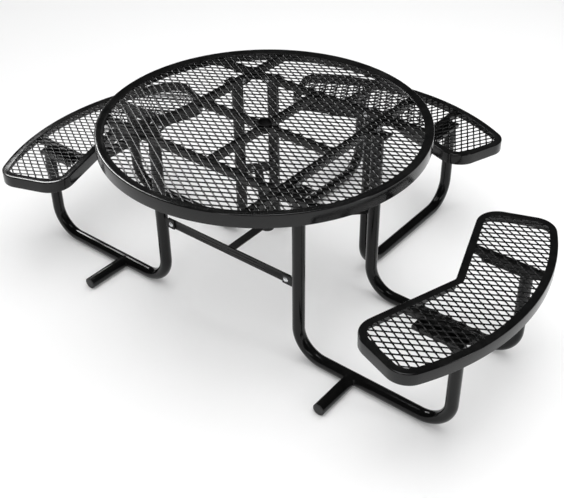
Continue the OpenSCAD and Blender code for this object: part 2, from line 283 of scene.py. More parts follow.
def path_frames(path, closed):
    """Two directions square to the path at each of its points, without twist."""
    path = np.asarray(path, float)
    if closed:
        along = np.roll(path, -1, 0) - np.roll(path, 1, 0)
    else:
        along = np.gradient(path, axis=0)
    along /= np.linalg.norm(along, axis=1)[:, None]
    seed = np.array([0, 0, 1.0]) if abs(along[0][2]) < 0.9 else np.array([1.0, 0, 0])
    frames = []
    for t in along:
        side = seed - t * (seed @ t)
        side /= np.linalg.norm(side)
        seed = side
        frames.append((side, np.cross(t, side)))
    return frames


def swept(path, radii, around=32, closed=False):
    """A round rod along a path, with its radius at each point, closed at open ends."""
    angles = np.linspace(0, 2 * math.pi, around, endpoint=False)
    rings = []
    for point, radius, (side, up) in zip(path, radii, path_frames(path, closed)):
        rings.append([
            tuple(np.asarray(point) + radius * (math.cos(a) * side + math.sin(a) * up)) for a in angles
        ])
    points, faces = skin(rings, closed, True)
    if not closed:
        faces.append(tuple(range(around)))
        faces.append(tuple((len(rings) - 1) * around + j for j in range(around)))
    return points, faces


def bead(path, radius, closed=True, ripple=3.2):
    """A weld bead with fine ripples along its run."""
    path = np.asarray(path, float)
    steps = np.linalg.norm(np.diff(path, axis=0, append=path[:1]), axis=1)
    run = np.cumsum(steps)
    radii = radius * (1 + 0.13 * np.sin(2 * math.pi * run / ripple) + 0.06 * np.sin(run * 0.37))
    return swept(path, radii, 8, closed)


# ---------------------------------------------------------------- shader groups


def node(tree, kind, inputs=None, **settings):
    """A shader node with its settings and the values of its inputs."""
    made = tree.nodes.new(kind)
    for key, value in settings.items():
        setattr(made, key, value)
    for key, value in (inputs or {}).items():
        if isinstance(value, bpy.types.NodeSocket):
            tree.links.new(value, made.inputs[key])
        else:
            made.inputs[key].default_value = value
    return made


def group(name, inputs, outputs):
    """An empty shader group with named inputs and outputs."""
    tree = bpy.data.node_groups.new(name, "ShaderNodeTree")
    for label, (kind, value) in inputs.items():
        socket = tree.interface.new_socket(label, in_out="INPUT", socket_type=kind)
        socket.default_value = value
    for label, kind in outputs.items():
        tree.interface.new_socket(label, in_out="OUTPUT", socket_type=kind)
    return tree, tree.nodes.new("NodeGroupInput"), tree.nodes.new("NodeGroupOutput")


NUMBER = "NodeSocketFloat"
COLOUR = "NodeSocketColor"


def coating_relief():
    """Height of a dipped or sprayed coating: slow sags, orange peel and a few nibs."""
    tree, given, out = group(
        "coating_relief",
        {
            "Sag": (NUMBER, 0.5),
            "Peel": (NUMBER, 0.4),
            "Peel size": (NUMBER, 260.0),
            "Nibs": (NUMBER, 0.2),
        },
        {"Height": NUMBER},
    )
    place = node(tree, "ShaderNodeTexCoord").outputs["Object"]
    sag = node(tree, "ShaderNodeTexNoise", {"Vector": place, "Scale": 22.0, "Detail": 2.0})
    peel = node(
        tree, "ShaderNodeTexNoise",
        {"Vector": place, "Scale": given.outputs["Peel size"], "Detail": 3.0, "Roughness": 0.55},
    )
    cells = node(tree, "ShaderNodeTexVoronoi", {"Vector": place, "Scale": 70.0})
    nib = node(
        tree, "ShaderNodeMapRange",
        {
            "Value": cells.outputs["Distance"], "From Min": 0.02, "From Max": 0.09,
            "To Min": 1.0, "To Max": 0.0,
        },
    )
    sources = ((sag.outputs["Fac"], "Sag"), (peel.outputs["Fac"], "Peel"), (nib.outputs[0], "Nibs"))
    total = None
    for source, share in sources:
        part = node(tree, "ShaderNodeMath", {0: source, 1: given.outputs[share]}, operation="MULTIPLY")
        if total is None:
            total = part.outputs[0]
        else:
            summed = node(tree, "ShaderNodeMath", {0: total, 1: part.outputs[0]}, operation="ADD")
            total = summed.outputs[0]
    tree.links.new(total, out.inputs["Height"])
    return tree


def film_tone():
    """Slow changes of colour and gloss over a coated surface."""
    tree, given, out = group(
        "film_tone",
        {
            "Deep": (COLOUR, (0.01, 0.01, 0.01, 1)),
            "Pale": (COLOUR, (0.03, 0.03, 0.03, 1)),
            "Smooth": (NUMBER, 0.2),
            "Dull": (NUMBER, 0.35),
        },
        {"Colour": COLOUR, "Roughness": NUMBER},
    )
    place = node(tree, "ShaderNodeTexCoord").outputs["Object"]
    cloud = node(
        tree, "ShaderNodeTexNoise",
        {"Vector": place, "Scale": 7.0, "Detail": 4.0, "Roughness": 0.6},
    )
    fine = node(
        tree, "ShaderNodeTexNoise",
        {"Vector": place, "Scale": 95.0, "Detail": 5.0, "Roughness": 0.65},
    )
    both = node(
        tree, "ShaderNodeMath", {0: cloud.outputs["Fac"], 1: fine.outputs["Fac"]}, operation="MULTIPLY",
    )
    spread = node(
        tree, "ShaderNodeMapRange", {"Value": both.outputs[0], "From Min": 0.14, "From Max": 0.42},
        interpolation_type="SMOOTHSTEP",
    )
    tint = node(
        tree, "ShaderNodeMix",
        {0: spread.outputs[0], 6: given.outputs["Deep"], 7: given.outputs["Pale"]}, data_type="RGBA",
    )
    gloss = node(
        tree, "ShaderNodeMapRange",
        {
            "Value": cloud.outputs["Fac"], "From Min": 0.3, "From Max": 0.7,
            "To Min": given.outputs["Smooth"], "To Max": given.outputs["Dull"],
        },
    )
    tree.links.new(tint.outputs[2], out.inputs["Colour"])
    tree.links.new(gloss.outputs[0], out.inputs["Roughness"])
    return tree


def settled_dust():
    """A thin veil of dust on faces that look up, broken up by wiping and rain."""
    tree, given, out = group(
        "settled_dust",
        {
            "Colour": (COLOUR, (0.02, 0.02, 0.02, 1)),
            "Roughness": (NUMBER, 0.3),
            "Dust": (COLOUR, (0.2, 0.19, 0.17, 1)),
            "Amount": (NUMBER, 0.1),
        },
        {"Colour": COLOUR, "Roughness": NUMBER},
    )
    place = node(tree, "ShaderNodeTexCoord").outputs["Object"]
    normal = node(tree, "ShaderNodeNewGeometry").outputs["Normal"]
    facing = node(tree, "ShaderNodeSeparateXYZ", {0: normal})
    upward = node(
        tree, "ShaderNodeMapRange", {"Value": facing.outputs[2], "From Min": 0.2, "From Max": 0.95},
    )
    patches = node(
        tree, "ShaderNodeTexNoise",
        {"Vector": place, "Scale": 14.0, "Detail": 6.0, "Roughness": 0.7},
    )
    broken = node(
        tree, "ShaderNodeMapRange",
        {"Value": patches.outputs["Fac"], "From Min": 0.35, "From Max": 0.75},
        interpolation_type="SMOOTHSTEP",
    )
    lying = node(
        tree, "ShaderNodeMath", {0: upward.outputs[0], 1: broken.outputs[0]}, operation="MULTIPLY",
    )
    mask = node(
        tree, "ShaderNodeMath", {0: lying.outputs[0], 1: given.outputs["Amount"]}, operation="MULTIPLY",
    )
    tint = node(
        tree, "ShaderNodeMix",
        {0: mask.outputs[0], 6: given.outputs["Colour"], 7: given.outputs["Dust"]}, data_type="RGBA",
    )
    dull = node(tree, "ShaderNodeMath", {0: mask.outputs[0], 1: 0.6}, operation="MULTIPLY")
    rough = node(
        tree, "ShaderNodeMath", {0: given.outputs["Roughness"], 1: dull.outputs[0]},
        operation="ADD", use_clamp=True,
    )
    tree.links.new(tint.outputs[2], out.inputs["Colour"])
    tree.links.new(rough.outputs[0], out.inputs["Roughness"])
    return tree


def rubbed_edges():
    """Lighter, smoother film where corners and ridges are rubbed."""
    tree, given, out = group(
        "rubbed_edges",
        {
            "Colour": (COLOUR, (0.02, 0.02, 0.02, 1)),
            "Rubbed": (COLOUR, (0.06, 0.06, 0.06, 1)),
            "Amount": (NUMBER, 0.3),
        },
        {"Colour": COLOUR, "Mask": NUMBER},
    )
    place = node(tree, "ShaderNodeTexCoord").outputs["Object"]
    sharp = node(tree, "ShaderNodeNewGeometry").outputs["Pointiness"]
    ridge = node(tree, "ShaderNodeMapRange", {"Value": sharp, "From Min": 0.52, "From Max": 0.62})
    scuffs = node(
        tree, "ShaderNodeTexNoise",
        {"Vector": place, "Scale": 40.0, "Detail": 6.0, "Roughness": 0.7},
    )
    broken = node(
        tree, "ShaderNodeMapRange", {"Value": scuffs.outputs["Fac"], "From Min": 0.4, "From Max": 0.65},
    )
    worn = node(
        tree, "ShaderNodeMath", {0: ridge.outputs[0], 1: broken.outputs[0]}, operation="MULTIPLY",
    )
    mask = node(
        tree, "ShaderNodeMath", {0: worn.outputs[0], 1: given.outputs["Amount"]}, operation="MULTIPLY",
    )
    tint = node(
        tree, "ShaderNodeMix",
        {0: mask.outputs[0], 6: given.outputs["Colour"], 7: given.outputs["Rubbed"]}, data_type="RGBA",
    )
    tree.links.new(tint.outputs[2], out.inputs["Colour"])
    tree.links.new(mask.outputs[0], out.inputs["Mask"])
    return tree


def zinc_bloom():
    """Bright zinc plate with its faint crystal bloom and drawn marks."""
    tree, given, out = group(
        "zinc_bloom",
        {
            "Bright": (COLOUR, (0.8, 0.81, 0.83, 1)),
            "Dull": (COLOUR, (0.5, 0.5, 0.5, 1)),
            "Smooth": (NUMBER, 0.2),
            "Rough": (NUMBER, 0.4),
        },
        {"Colour": COLOUR, "Roughness": NUMBER, "Height": NUMBER},
    )
    place = node(tree, "ShaderNodeTexCoord").outputs["Object"]
    cells = node(tree, "ShaderNodeTexVoronoi", {"Vector": place, "Scale": 420.0})
    grains = node(tree, "ShaderNodeSeparateColor", {0: cells.outputs["Color"]})
    haze = node(tree, "ShaderNodeTexNoise", {"Vector": place, "Scale": 120.0, "Detail": 5.0})
    mixed = node(
        tree, "ShaderNodeMath", {0: grains.outputs[0], 1: haze.outputs["Fac"]}, operation="MULTIPLY",
    )
    tint = node(
        tree, "ShaderNodeMix",
        {0: mixed.outputs[0], 6: given.outputs["Bright"], 7: given.outputs["Dull"]}, data_type="RGBA",
    )
    gloss = node(
        tree, "ShaderNodeMapRange",
        {
            "Value": haze.outputs["Fac"],
            "To Min": given.outputs["Smooth"], "To Max": given.outputs["Rough"],
        },
    )
    tree.links.new(tint.outputs[2], out.inputs["Colour"])
    tree.links.new(gloss.outputs[0], out.inputs["Roughness"])
    tree.links.new(haze.outputs["Fac"], out.inputs["Height"])
    return tree


RELIEF = coating_relief()
TONE = film_tone()
DUST = settled_dust()
RUBBED = rubbed_edges()
ZINC = zinc_bloom()


def grey(value, warm=0.0):
    """A grey; warm above 0 leans it towards red, and below 0 towards blue."""
    return (value * (1 + warm), value, value * (1 - warm), 1)


def coated(name, deep, pale, gloss, relief, dust, rubbed, shine):
    """A black coating over steel or plastic; relief is its sag, peel, peel size and nibs."""
    material = bpy.data.materials.new(name)
    material.use_nodes = True
    tree = material.node_tree
    shader = tree.nodes["Principled BSDF"]
    tone = node(
        tree, "ShaderNodeGroup",
        {"Deep": grey(deep, -0.03), "Pale": grey(pale, -0.02), "Smooth": gloss[0], "Dull": gloss[1]},
        node_tree=TONE,
    )
    edges = node(
        tree, "ShaderNodeGroup",
        {"Colour": tone.outputs["Colour"], "Rubbed": grey(pale * 2.2), "Amount": rubbed},
        node_tree=RUBBED,
    )
    veil = node(
        tree, "ShaderNodeGroup",
        {
            "Colour": edges.outputs["Colour"], "Roughness": tone.outputs["Roughness"],
            "Dust": grey(0.21, 0.06), "Amount": dust,
        },
        node_tree=DUST,
    )
    film = node(
        tree, "ShaderNodeGroup",
        {"Sag": relief[0], "Peel": relief[1], "Peel size": relief[2], "Nibs": relief[3]},
        node_tree=RELIEF,
    )
    bump = node(
        tree, "ShaderNodeBump", {"Height": film.outputs["Height"], "Strength": 0.35, "Distance": 0.001},
    )
    tree.links.new(veil.outputs["Colour"], shader.inputs["Base Color"])
    tree.links.new(veil.outputs["Roughness"], shader.inputs["Roughness"])
    tree.links.new(bump.outputs["Normal"], shader.inputs["Normal"])
    shader.inputs["Specular IOR Level"].default_value = shine
    return material


def zinc(name, bright, dull, gloss):
    """Zinc-plated steel."""
    material = bpy.data.materials.new(name)
    material.use_nodes = True
    tree = material.node_tree
    shader = tree.nodes["Principled BSDF"]
    plate = node(
        tree, "ShaderNodeGroup",
        {"Bright": grey(bright, -0.02), "Dull": grey(dull), "Smooth": gloss[0], "Rough": gloss[1]},
        node_tree=ZINC,
    )
    bump = node(
        tree, "ShaderNodeBump", {"Height": plate.outputs["Height"], "Strength": 0.2, "Distance": 0.0004},
    )
    tree.links.new(plate.outputs["Colour"], shader.inputs["Base Color"])
    tree.links.new(plate.outputs["Roughness"], shader.inputs["Roughness"])
    tree.links.new(bump.outputs["Normal"], shader.inputs["Normal"])
    shader.inputs["Metallic"].default_value = 0.7
    return material


FINISHES = {
    "coated_mesh": coated(
        "coated_mesh", 0.002, 0.004, gloss=(0.16, 0.26), relief=(0.9, 0.25, 420.0, 0.15),
        dust=0.015, rubbed=0.08, shine=0.32,
    ),
    "coated_rim": coated(
        "coated_rim", 0.003, 0.006, gloss=(0.08, 0.18), relief=(0.8, 0.30, 210.0, 0.25),
        dust=0.015, rubbed=0.12, shine=0.38,
    ),
    "tube_paint": coated(
        "tube_paint", 0.002, 0.004, gloss=(0.10, 0.20), relief=(0.7, 0.30, 330.0, 0.20),
        dust=0.010, rubbed=0.10, shine=0.28,
    ),
    "bar_paint": coated(
        "bar_paint", 0.002, 0.005, gloss=(0.20, 0.34), relief=(0.8, 0.35, 300.0, 0.20),
        dust=0.015, rubbed=0.12, shine=0.30,
    ),
    "brace_paint": coated(
        "brace_paint", 0.004, 0.008, gloss=(0.28, 0.40), relief=(0.5, 0.45, 380.0, 0.20),
        dust=0.015, rubbed=0.20, shine=0.28,
    ),
    "collar_paint": coated(
        "collar_paint", 0.002, 0.004, gloss=(0.30, 0.45), relief=(0.5, 0.30, 210.0, 0.20),
        dust=0.015, rubbed=0.10, shine=0.12,
    ),
    "cap_plastic": coated(
        "cap_plastic", 0.008, 0.014, gloss=(0.38, 0.52), relief=(0.2, 0.60, 620.0, 0.10),
        dust=0.03, rubbed=0.12, shine=0.40,
    ),
    "zinc_bolt": zinc("zinc_bolt", 0.80, 0.52, (0.16, 0.34)),
    "zinc_nut": zinc("zinc_nut", 0.66, 0.42, (0.26, 0.44)),
}


# ---------------------------------------------------------------- table and seat bands


def seat_corner_points():
    """The seat's own corner points, edge directions and arc middles, on the +X side."""
    mid = np.array([SEAT_REACH - SEAT_DEPTH, 0.0])
    inner = np.array([mid[0] - SEAT_IN_BACK, SEAT_IN_HALF])
    outer = np.array([SEAT_REACH - SEAT_OUT_BACK, SEAT_OUT_HALF])
    in_dir = (inner - mid) / np.linalg.norm(inner - mid)
    end_dir = (outer - inner) / np.linalg.norm(outer - inner)
    in_n = np.array([in_dir[1], -in_dir[0]])
    end_n = np.array([end_dir[1], -end_dir[0]])
    outer_r = (SEAT_OUT_HALF ** 2 + SEAT_OUT_BACK ** 2) / (2 * SEAT_OUT_BACK)
    outer_c = np.array([SEAT_REACH - outer_r, 0.0])
    mid_c = mid - np.array([2 * in_n[0], 0]) * SEAT_MID_R / (1 + in_n[0] ** 2 - in_n[1] ** 2)
    in_c = inner + (in_n + end_n) * SEAT_IN_R / (1 + in_n @ end_n)
    w = outer + end_n * SEAT_OUT_R - outer_c
    b = end_dir @ w
    out_c = outer_c + w + end_dir * (math.sqrt(b ** 2 - w @ w + (outer_r - SEAT_OUT_R) ** 2) - b)
    return in_n, end_n, outer_r, outer_c, mid_c, in_c, out_c


def seat_outline(inset):
    """A seat's outline on the +X side, moved in by inset."""
    in_n, end_n, outer_r, outer_c, mid_c, in_c, out_c = seat_corner_points()
    in_a = math.degrees(math.atan2(in_n[1], in_n[0]))
    end_a = math.degrees(math.atan2(-end_n[1], -end_n[0]))
    out_a = math.degrees(math.atan2(out_c[1] - outer_c[1], out_c[0] - outer_c[0]))
    half = arc(mid_c, SEAT_MID_R + inset, 0, in_a, 5)
    inner = arc(in_c, SEAT_IN_R - inset, in_a + 180, end_a, 16)
    half += spaced(half[-1], inner[0], 16) + inner
    outer = arc(out_c, SEAT_OUT_R - inset, end_a, out_a, 16)
    half += spaced(half[-1], outer[0], 6) + outer
    half += arc(outer_c, outer_r - inset, out_a, 0, 24)[1:]
    return half + [(x, -y) for x, y in half[-2:0:-1]]


def spaced(start, end, steps):
    """Points between two points, without the two."""
    start = np.asarray(start)
    end = np.asarray(end)
    return [tuple(start + (end - start) * k / steps) for k in range(1, steps)]


def band(section, outline):
    """A closed (inset, height) section carried round an outline."""
    rings = [[(x, y, z) for x, y in outline(inset)] for inset, z in section]
    return skin(rings, True, True)


def round_outline(inset):
    """The table's outline moved in by inset."""
    angles = np.linspace(0, 2 * math.pi, 256, endpoint=False)
    return [((TABLE_R - inset) * math.cos(a), (TABLE_R - inset) * math.sin(a)) for a in angles]


def table_band():
    """The table's rolled band with its sloping flange and welded lip."""
    lip = TABLE_R - LIP_OUT
    section = rounded([
        (0, TABLE_BAND_LOW, 1.4),
        (0, TABLE_TOP, EDGE_R),
        (EDGE_R + 1.5, TABLE_TOP, 5),
        (lip, LIP_TOP, 6),
        (TABLE_R - LIP_IN, LIP_TOP, 1.3),
        (TABLE_R - LIP_IN, DECK_TOP, 1.3),
        (lip, DECK_TOP, 4),
        (EDGE_R + 1.5, TABLE_TOP - SHEET, 4),
        (SHEET, TABLE_TOP - SHEET, 5),
        (SHEET, TABLE_BAND_LOW, 1.4),
    ])
    points, faces = band(section, round_outline)
    piece("table_band", points, faces, FINISHES["coated_rim"], ["table_rim"])


def seat_bands():
    """The band and flange round each seat."""
    section = rounded([
        (0, SEAT_BAND_LOW, 1.4),
        (0, SEAT_TOP, 7),
        (10, SEAT_TOP, 5),
        (FLANGE_W, SEAT_DECK_TOP + 2.4, 1.1),
        (FLANGE_W, SEAT_DECK_TOP, 1.1),
        (SHEET, SEAT_DECK_TOP, 3),
        (SHEET, SEAT_BAND_LOW, 1.4),
    ])
    points, faces = band(section, seat_outline)
    for seat, (turn, _) in SEATS.items():
        piece(
            seat + "_seat_band", turned_about(points, turn), faces,
            FINISHES["coated_rim"], [seat + "_seat_rim"],
        )


# ---------------------------------------------------------------- expanded metal


def diamond_loops():
    """One diamond's edge and its rounded opening, as matching points round its middle."""
    corners = np.array([(LONG_WAY / 2, 0), (0, SHORT_WAY / 2), (-LONG_WAY / 2, 0), (0, -SHORT_WAY / 2)])
    edge = []
    opening = []
    power = 2 / OPENING_ROUNDING
    for k in range(4):
        for part in range(3):
            edge.append(corners[k] + (corners[(k + 1) % 4] - corners[k]) * part / 3)
            angle = math.pi / 2 * (k + (0, 0.36, 0.64)[part])
            c = math.cos(angle)
            s = math.sin(angle)
            opening.append((
                OPENING_LONG / 2 * math.copysign(abs(c) ** power, c),
                OPENING_SHORT / 2 * math.copysign(abs(s) ** power, s),
            ))
    return np.array(edge), np.array(opening)


def diamond_sheet(middles, middle_z, draw_in):
    """Coated strands round every diamond in middles; draw_in moves points off the sheet's edges."""
    edge, opening = diamond_loops()
    count = len(edge)
    shoulder = edge * 0.42 + opening * 0.58
    middles = np.asarray(middles, float)
    keys = np.round((middles[:, None, :] + edge[None]).reshape(-1, 2), 2)
    shared, index = np.unique(keys, axis=0, return_inverse=True)
    index = index.reshape(len(middles), count)
    corner = np.zeros(len(shared))
    corner[index[:, ::3].ravel()] = 1
    ridge_z = STRAND_RIDGE - 0.08 * (1 - corner)
    tilt = -STRAND_TILT * opening[:, 1] / (OPENING_SHORT / 2)
    inside = (middles[:, None, :] + opening[None]).reshape(-1, 2)
    flank = (middles[:, None, :] + shoulder[None]).reshape(-1, 2)
    tilted = np.tile(tilt, len(middles))
    flat = np.concatenate([shared, shared, flank, flank, inside])
    height = np.concatenate([
        ridge_z, -ridge_z, STRAND_SHOULDER + tilted * 0.6, -STRAND_SHOULDER + tilted * 0.6, tilted,
    ])
    flat = draw_in(flat)
    points = np.column_stack([flat, height + middle_z])
    edge_top = index
    edge_low = index + len(shared)
    base = 2 * len(shared)
    own = np.arange(len(middles) * count).reshape(len(middles), count)
    flank_top = base + own
    flank_low = flank_top + len(flank)
    hole = flank_low + len(flank)
    faces = []
    for outer, inner, flip in (
        (edge_top, flank_top, False), (flank_top, hole, False),
        (edge_low, flank_low, True), (flank_low, hole, True),
    ):
        quads = np.stack([outer, np.roll(outer, -1, 1), np.roll(inner, -1, 1), inner], 2).reshape(-1, 4)
        faces.append(quads[:, ::-1] if flip else quads)
    sides = np.stack([edge_top, np.roll(edge_top, -1, 1)], 2).reshape(-1, 2)
    lone, seen = np.unique(np.sort(sides, 1), axis=0, return_counts=True)
    lone = {tuple(pair) for pair in lone[seen == 1]}
    rims = [
        (b, a, a + len(shared), b + len(shared)) for a, b in sides if (min(a, b), max(a, b)) in lone
    ]
    faces = np.concatenate(faces + [np.array(rims)])
    return points, [tuple(int(i) for i in face) for face in faces]


def lattice(x0, y0, x_low, x_high, y_low, y_high):
    """Middles of every diamond in a box, with one of them at (x0, y0)."""
    step_x = LONG_WAY / 2
    step_y = SHORT_WAY / 2
    middles = []
    for i in range(math.floor((x_low - x0) / step_x), math.ceil((x_high - x0) / step_x) + 1):
        for j in range(math.floor((y_low - y0) / step_y), math.ceil((y_high - y0) / step_y) + 1):
            if (i + j) % 2 == 0:
                middles.append((x0 + i * step_x, y0 + j * step_y))
    return np.array(middles)


def table_mesh():
    """The table's mesh, hidden at its edge under the lip and at its middle under the plate."""
    edge, _ = diamond_loops()
    middles = lattice(TABLE_DIAMOND_X, 0, -TABLE_R, TABLE_R, -TABLE_R, TABLE_R)
    reach = np.linalg.norm(middles[:, None, :] + edge[None], axis=2)
    shown = (reach.min(1) < LIP_IN + 2) & (reach.max(1) > PLATE_R - 2)
    middles = middles[shown]
    last = TABLE_R - SHEET - 1
    furthest = reach[shown].max()

    def draw_in(flat):
        r = np.linalg.norm(flat, axis=1)
        out_share = (r - LIP_IN - 4) / (furthest - LIP_IN - 4)
        moved = np.where(r > LIP_IN + 4, LIP_IN + 4 + out_share * (last - LIP_IN - 4), r)
        first = COLLAR_R + 1.2
        covered = PLATE_R - 0.6
        moved = np.where(r < covered, first + (covered - first) * r / covered, moved)
        return flat * (moved / np.maximum(r, 0.01))[:, None]

    points, faces = diamond_sheet(middles, (DECK_TOP + DECK_LOW) / 2, draw_in)
    piece("table_mesh", points, faces, FINISHES["coated_mesh"], ["table_deck"], 180)


def edge_inset(flat, outline):
    """How far each point lies inside a closed outline, and the direction straight in."""
    start = np.asarray(outline)
    along = np.roll(start, -1, 0) - start
    length = (along ** 2).sum(1)
    best = np.full(len(flat), 1e9)
    nearest = np.zeros_like(flat)
    inside = np.zeros(len(flat), bool)
    for p, d, size in zip(start, along, length):
        if size < 1e-9:
            continue
        t = np.clip(((flat - p) @ d) / size, 0, 1)
        foot = p + t[:, None] * d
        gap = np.linalg.norm(flat - foot, axis=1)
        closer = gap < best
        best = np.where(closer, gap, best)
        nearest[closer] = foot[closer]
        crosses = (p[1] > flat[:, 1]) != (p[1] + d[1] > flat[:, 1])
        if abs(d[1]) > 1e-9:
            inside ^= crosses & (flat[:, 0] < p[0] + (flat[:, 1] - p[1]) * d[0] / d[1])
    sign = np.where(inside, 1, -1)
    inward = (flat - nearest) * sign[:, None] / np.maximum(best, 1e-6)[:, None]
    return best * sign, inward


def seat_meshes():
    """The mesh of each seat, hidden at its edge under the flange."""
    outline = seat_outline(0)
    edge, _ = diamond_loops()
    middles = lattice(SEAT_DIAMOND_X, 0, SEAT_REACH - 450, SEAT_REACH, -SEAT_OUT_HALF, SEAT_OUT_HALF)
    inset, _ = edge_inset((middles[:, None, :] + edge[None]).reshape(-1, 2), outline)
    inset = inset.reshape(len(middles), -1)
    shown = inset.max(1) > FLANGE_W - 2
    middles = middles[shown]
    furthest = inset[shown].min()
    last = SHEET + 1.5

    def draw_in(flat):
        depth, inward = edge_inset(flat, outline)
        start = FLANGE_W - 4
        share = (start - depth) / (start - furthest)
        wanted = np.where(depth < start, start - share * (start - last), depth)
        return flat + inward * (wanted - depth)[:, None]

    points, faces = diamond_sheet(middles, (SEAT_DECK_TOP + SEAT_DECK_LOW) / 2, draw_in)
    for seat, (turn, _) in SEATS.items():
        piece(
            seat + "_seat_mesh", turned_about(points, turn), faces,
            FINISHES["coated_mesh"], [seat + "_seat_deck"], 180,
        )


# ---------------------------------------------------------------- tubes


def leg_path(y):
    """Down the table leg, along the ground and up the seat leg."""
    out_c = (LEG_X + BEND_R, TUBE_R + BEND_R)
    in_c = (SEAT_LEG_X - BEND_R, TUBE_R + BEND_R)
    flat = [(LEG_X, LEG_TOP), (LEG_X, LEG_TOP - 20)] + arc(out_c, BEND_R, 180, 270, 18)
    flat += spaced(flat[-1], (in_c[0], TUBE_R), 6)
    flat += arc(in_c, BEND_R, 270, 360, 18)
    flat += [(SEAT_LEG_X, SEAT_LEG_TOP - 10), (SEAT_LEG_X, SEAT_LEG_TOP)]
    return np.array([(x, y, z) for x, z in flat])


def legs():
    """The six bent leg tubes."""
    for seat, (turn, sides) in SEATS.items():
        for side, label in zip((-1, 1), sides):
            path = leg_path(side * LEG_HALF)
            points, faces = swept(path, [TUBE_R] * len(path), 40)
            name = seat + "_leg_tube_" + label
            piece(
                name, turned_about(points, turn), faces,
                FINISHES["tube_paint"], [seat + "_leg_" + label],
            )


def stub_feet():
    """The two stub feet beside the open side, and their pressed-in caps."""
    caps = Shape()
    for name, side in (("right_stub_foot", 1), ("left_stub_foot", -1)):
        reach = STUB_REACH
        section = rounded([
            (TUBE_R - TUBE_WALL, TUBE_R * 0.2, 0.1),
            (TUBE_R, TUBE_R * 0.2, 0.1),
            (TUBE_R, reach, 0.8),
            (TUBE_R - TUBE_WALL, reach, 0.8),
        ], 3)
        points, faces = turned(section, 40)
        points = np.array(points)
        low_end = points[:, 2] < TUBE_R * 0.3
        radius = np.linalg.norm(points[:, :2], axis=1)
        inward = np.sqrt(np.maximum(TUBE_R ** 2 - points[:, 1] ** 2, 0))
        points[low_end, 2] = np.where(radius > TUBE_R - 1.5, inward, inward * 0.98)[low_end]
        origin = (side * STUB_X, -LEG_HALF, TUBE_R)
        placed = np.stack([points[:, 0], -points[:, 2], points[:, 1]], 1) + np.array(origin)
        piece(name, placed, faces, FINISHES["tube_paint"], [name])
        cap = [(0, reach + CAP_T)]
        cap += [(r, reach + CAP_T - 0.9 * (r / TUBE_R) ** 2) for r in (6, 12, 17)]
        cap += [
            (TUBE_R - 2.2, reach + CAP_T - 1.1),
            (TUBE_R - 0.6, reach + CAP_T - 1.9),
            (TUBE_R - 0.2, reach + 1),
            (TUBE_R - 0.3, reach),
            (TUBE_R - 3.2, reach - 0.2),
            (TUBE_R - 3.4, reach - CAP_PLUG),
            (0, reach - CAP_PLUG),
        ]
        points, faces = spun(cap, 40)
        caps.add(stood(points, origin, (0, -1, 0)), faces)
    caps.made("foot_caps", FINISHES["cap_plastic"], "cap_plastic", ["stub_caps"], 50)


def ring_path(centre, radius, axis, steps=72):
    """A circle of points about an axis."""
    angles = np.linspace(0, 2 * math.pi, steps, endpoint=False)
    return stood([(radius * math.cos(a), radius * math.sin(a), 0) for a in angles], centre, axis)


def welds():
    """Fillet beads where the tubes, plates and lugs are joined."""
    frame_welds = Shape()
    for seat, (turn, _) in SEATS.items():
        for side in (-1, 1):
            y = side * LEG_HALF
            top = ring_path((LEG_X, y, LEG_TOP - 1.2), TUBE_R + 0.6, (0, 0, 1))
            foot = ring_path((SEAT_LEG_X, y, SEAT_LEG_TOP - 1.2), TUBE_R - 0.4, (0, 0, 1))
            for path, radius in ((top, 2.6), (foot, 1.8)):
                points, faces = bead(path, radius)
                frame_welds.add(turned_about(points, turn), faces)
    for side in (-1, 1):
        angles = np.linspace(0, 2 * math.pi, 96, endpoint=False)
        saddle = [
            (
                side * STUB_X + (TUBE_R + 0.6) * math.cos(a),
                -LEG_HALF - math.sqrt((TUBE_R * math.cos(a)) ** 2 + 16),
                TUBE_R + (TUBE_R - 0.4) * math.sin(a),
            )
            for a in angles
        ]
        points, faces = bead(saddle, 2.2)
        grounded = np.maximum(np.array(points), (-np.inf, -np.inf, 0.3))
        frame_welds.add(grounded, faces)
    for turn, half, out, _ in TIES:
        for side in (-1, 1):
            x_in = side * (half - TUBE_R + 0.5)
            x_out = side * (half - math.sqrt(TUBE_R ** 2 - BRACE_T ** 2) + 0.5)
            for x, y in ((x_in, -out - 0.5), (x_out, -out - BRACE_T)):
                run = [(x, y, BRACE_Z + BRACE_H * (k / 30 - 0.5)) for k in range(31)]
                points, faces = bead(run, 1.9, False)
                frame_welds.add(turned_about(points, turn), faces)
    frame_welds.made("frame_welds", FINISHES["tube_paint"], "tube_paint")


# ---------------------------------------------------------------- umbrella collar and ring


def umbrella_parts():
    """The collar with its plate, and the lower ring."""
    collar = rounded([
        (POLE_R, COLLAR_LOW, 0.8),
        (COLLAR_R, COLLAR_LOW, 0.8),
        (COLLAR_R, DECK_TOP, 2.0),
        (PLATE_R, DECK_TOP, 0.9),
        (PLATE_R, LIP_TOP, 1.4),
        (POLE_R, LIP_TOP, 1.4),
    ])
    points, faces = turned(collar, 96)
    piece(
        "umbrella_collar_plate", points, faces,
        FINISHES["collar_paint"], ["umbrella_collar"],
    )
    ring_low = low("umbrella_ring")[2]
    ring_high = high("umbrella_ring")[2]
    ring = rounded([
        (POLE_R, ring_low, 0.9),
        (COLLAR_R, ring_low, 0.9),
        (COLLAR_R, ring_high, 0.9),
        (POLE_R, ring_high, 0.9),
    ])
    points, faces = turned(ring, 64)
    piece(
        "lower_umbrella_ring", points, faces,
        FINISHES["brace_paint"], ["umbrella_ring"],
    )


# ---------------------------------------------------------------- fasteners


